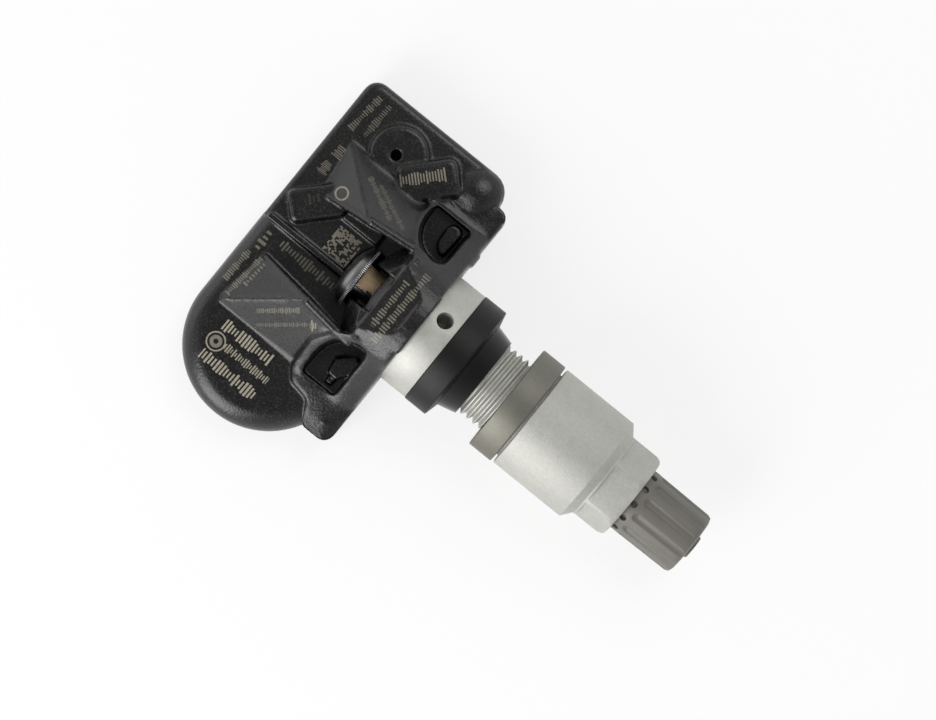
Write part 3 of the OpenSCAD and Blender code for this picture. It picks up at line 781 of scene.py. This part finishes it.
# %% [markdown]
# The threaded stem
#
# The solid's stem is a plain cylinder at the thread's outer diameter. A rolled thread is a ridge that
# climbs one pitch a turn, so the copy of the stem is turned down to the thread's root, and a small
# tooth is spun round it with a step along the axis.

# %% Turn the stem down and wind the thread
# The rise of one turn, the radius at the crest and at the root, where the ridge starts and ends along
# the axis, and the stretch that is turned down
PITCH = 1.0
CREST = 5.5
ROOT = 4.93
THREAD = (2.75, 17.3)
TURNED = (2.6, 17.55)
STEPS_PER_TURN = 72
# Half the width of the tooth at its foot and at its crest, and how deep its foot is sunk
TOOTH_FOOT = 0.46
TOOTH_TOP = 0.08
FOOT_SUNK = 0.05
# The length over which each end of the ridge fades, and how deep it ends below the root
FADE = 0.5 * PITCH
FADE_SUNK = 0.03


def turn_down(bm, start, end, radius):
    """Pulls the stem's skin in to the radius between two places along it."""
    for v in bm.verts:
        r = math.hypot(v.co.y, v.co.z)
        if start * MM < v.co.x < end * MM and r > radius * MM:
            v.co.y *= radius * MM / r
            v.co.z *= radius * MM / r


def wind_thread(bm):
    """Spins a tooth round the axis and moves it one pitch a turn."""
    foot = ROOT - FOOT_SUNK
    tooth = [(TOOTH_FOOT, foot), (TOOTH_TOP, CREST), (-TOOTH_TOP, CREST), (-TOOTH_FOOT, foot)]
    verts = [bm.verts.new(mm(THREAD[0] + along * PITCH, 0, radius)) for along, radius in tooth]
    face = bm.faces.new(verts)
    turns = (THREAD[1] - THREAD[0]) / PITCH
    steps = int(turns * STEPS_PER_TURN)
    bmesh.ops.spin(bm, geom=[*verts, *face.edges, face], cent=(0, 0, 0), axis=(-1, 0, 0),
        dvec=mm(PITCH / STEPS_PER_TURN, 0, 0), angle=2 * math.pi * steps / STEPS_PER_TURN, steps=steps)


def fade_thread(bm, first):
    """Sinks the ridge below the root at both ends. The ridge's vertices start at number first."""
    for v in list(bm.verts)[first:]:
        r = math.hypot(v.co.y, v.co.z) / MM
        inside = min(v.co.x / MM - THREAD[0], THREAD[1] - v.co.x / MM) / FADE
        if inside < 1 and r > ROOT:
            wanted = ROOT - FADE_SUNK + (r - ROOT) * max(inside, 0.0)
            v.co.y *= wanted / r
            v.co.z *= wanted / r


stem = merged_copy("valve_stem")
whole_faces(stem)
turn_down(stem, *TURNED, ROOT)
round_edges(stem, sharp_edges(stem, SHARP), 0.07)
stem_verts = len(stem.verts)
wind_thread(stem)
fade_thread(stem, stem_verts)
bmesh.ops.recalc_face_normals(stem, faces=stem.faces)
finish_piece("valve_stem_threaded", stem, "valve_stem", crease=35)

# %% [markdown]
# Everything inside
#
# The valve core's spring stands between a ledge of the barrel and the collar of the pin, so it would have
# to shorten when the pin is pressed; its copy here keeps its length. The pin's tip is made a little
# thinner than its hole, so it slips in with a little play. The other closed-in solids stay as they are and
# only take a finish.

# %% Finish the spring and the pin of the valve core
# Where the pin's tip starts along the axis, and what share of its radius it keeps
TIP_START = 35.3
TIP_EASE = 0.92


def pressed_spring(travel):
    """The spring's copy, with a mesh of its own; it keeps its length. travel, the pin's whole travel in
    metres, is not used.
    """
    spring = finish_piece("core_spring_finished", merged_copy("core_spring"), "core_spring")
    low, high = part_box("core_spring")
    length = high.x - low.x
    (length - travel) / length
    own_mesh(spring)


def eased_pin():
    """The pin's copy, with a tip a little thinner than its hole."""
    bm = merged_copy("core_pin")
    for v in bm.verts:
        if v.co.x > TIP_START * MM:
            v.co.y *= TIP_EASE
            v.co.z *= TIP_EASE
    finish_piece("core_pin_finished", bm, "core_pin")


JOINTS = {joint["name"]: joint for joint in frame["record"]["behaviour"]["joints"]}
pin_free, pin_pressed = JOINTS["pin_press"]["range_m"]
pressed_spring(pin_pressed - pin_free)
eased_pin()

# %% Finish the inner solids
for node, solid in frame["nodes"].items():
    if node not in REPLACED:
        solid.data.materials.clear()
        solid.data.materials.append(FINISHES[SLOT_OF[node]])
print("inner solids:", len(frame["nodes"]) - len(REPLACED))

# %% [markdown]
# Floor, light and camera
#
# The photograph is a cut-out on white with a faint shadow. The floor is partly clear to the camera, so
# the white comes from the world behind it. The floor keeps the shadow, and whatever dips below it in a
# pose still shows through. The room around is dark overhead and bright along the horizon, because
# satin metal and dark plastic show what stands around them.

# %% The floor and the world
# Half the side of the floor in metres, its colour, and how much of it the camera looks through
FLOOR_HALF = 1.5
FLOOR_WHITE = (0.97, 0.97, 0.97, 1)
FLOOR_CLEAR = 0.76
# The brightness of the room overhead and along the horizon
ROOM_TOP = 0.2
ROOM_SIDE = 0.95


def seen_by(root, *rays):
    """1 for the named kinds of ray and 0 for the others."""
    seen = root.node("LightPath", {}, {}, rays[0])
    for name in rays[1:]:
        seen = seen.maths("MAXIMUM", seen, root.node("LightPath", {}, {}, name))
    return seen


def floor_paint():
    """Matt white for the light, and mostly clear for the camera, for mirrors and for shadows."""
    material = bpy.data.materials.new("pale_floor_paint")
    material.use_nodes = True
    tree = material.node_tree
    root = Wire(tree)
    matt = root.node("BsdfDiffuse", {}, {"Color": FLOOR_WHITE})
    clear = root.node("BsdfTransparent", {}, {"Color": (1, 1, 1, 1)})
    seen = seen_by(root, "Is Camera Ray", "Is Glossy Ray", "Is Transmission Ray", "Is Shadow Ray")
    mixed = root.node("MixShader", {}, {0: seen * FLOOR_CLEAR, 1: matt, 2: clear})
    tree.links.new(mixed.socket, tree.nodes["Material Output"].inputs["Surface"])
    return material


def pale_floor():
    """A wide plane under the object. It belongs to the picture, not to the object."""
    bm = bmesh.new()
    bmesh.ops.create_grid(bm, x_segments=1, y_segments=1, size=FLOOR_HALF)
    bmesh.ops.translate(bm, verts=bm.verts, vec=(0, 0, FLOOR_Z))
    floor = add_object("pale_floor", mesh_of("pale_floor", bm))
    floor.data.materials.append(floor_paint())


def soft_world():
    """A pale room, dark overhead and bright along the horizon. Pictures see pure white, and mirrors see it
    below the horizon.
    """
    world = bpy.data.worlds.new("soft_world")
    world.use_nodes = True
    bpy.context.scene.world = world
    tree = world.node_tree
    root = Wire(tree)
    height = parts_of(root.node("TexCoord", {}, {}, "Generated"))[2]
    room = (ROOM_TOP + (ROOM_SIDE - ROOM_TOP) * (1 - height)) * (height > 0)
    mirrored = seen_by(root, "Is Glossy Ray", "Is Transmission Ray") * (height < 0)
    camera = seen_by(root, "Is Camera Ray")
    level = camera + (1 - camera) * (room + mirrored)
    tree.links.new(level.socket, tree.nodes["Background"].inputs["Strength"])
    tree.nodes["Background"].inputs["Color"].default_value = (1, 1, 1, 1)


pale_floor()
soft_world()
print("floor and world are set")

# %% [markdown]
# The camera looks straight down, turned so that the valve points to the lower right. A long lens keeps
# the sides of the parts out of sight. Three soft lamps stand by the picture's own directions: a large
# one at the lower left, a weak one close to the floor at the left, and one high at the upper right.

# %% Camera
# The camera's turn in degrees, the place it looks at, its height and the width it sees in metres, and
# the width of its sensor in millimetres
VIEW_TURN = 39
VIEW_MIDDLE = mm(-0.16, 0.56, 0)
VIEW_HEIGHT = 0.6
VIEW_WIDTH = 0.1226
SENSOR = 36.0


def look_down():
    """A camera above the middle of the object, with its frame turned to the photograph's."""
    data = bpy.data.cameras.new("overhead_camera")
    data.sensor_width = SENSOR
    data.lens = SENSOR * VIEW_HEIGHT / VIEW_WIDTH
    data.clip_start = 0.05
    data.clip_end = 5
    camera = add_object("overhead_camera", data)
    camera.location = VIEW_MIDDLE + Vector((0, 0, VIEW_HEIGHT))
    camera.rotation_euler = (0, 0, math.radians(VIEW_TURN))
    bpy.context.scene.camera = camera


look_down()
bpy.context.scene.view_settings.view_transform = "Standard"
print("camera turned by", VIEW_TURN, "degrees")

# %% Lamps
def softbox(name, place, width, tall, power):
    """A lamp aimed at the object, placed by the picture's own right and up and by its height."""
    turn = Matrix.Rotation(math.radians(VIEW_TURN), 3, "Z")
    lamp = bpy.data.lights.new(name, "AREA")
    lamp.shape = "RECTANGLE"
    lamp.size = width
    lamp.size_y = tall
    lamp.energy = power
    holder = add_object(name, lamp)
    holder.location = turn @ Vector(place)
    holder.rotation_euler = (-holder.location).to_track_quat("-Z", "Y").to_euler()


softbox("left_softbox", (-0.37, -0.31, 0.26), 0.32, 0.5, 2.5)
softbox("side_softbox", (-0.46, 0.24, 0.1), 0.3, 0.2, 0.14)
softbox("high_softbox", (0.22, 0.26, 0.45), 0.32, 0.32, 0.8)
print("lamps are set")
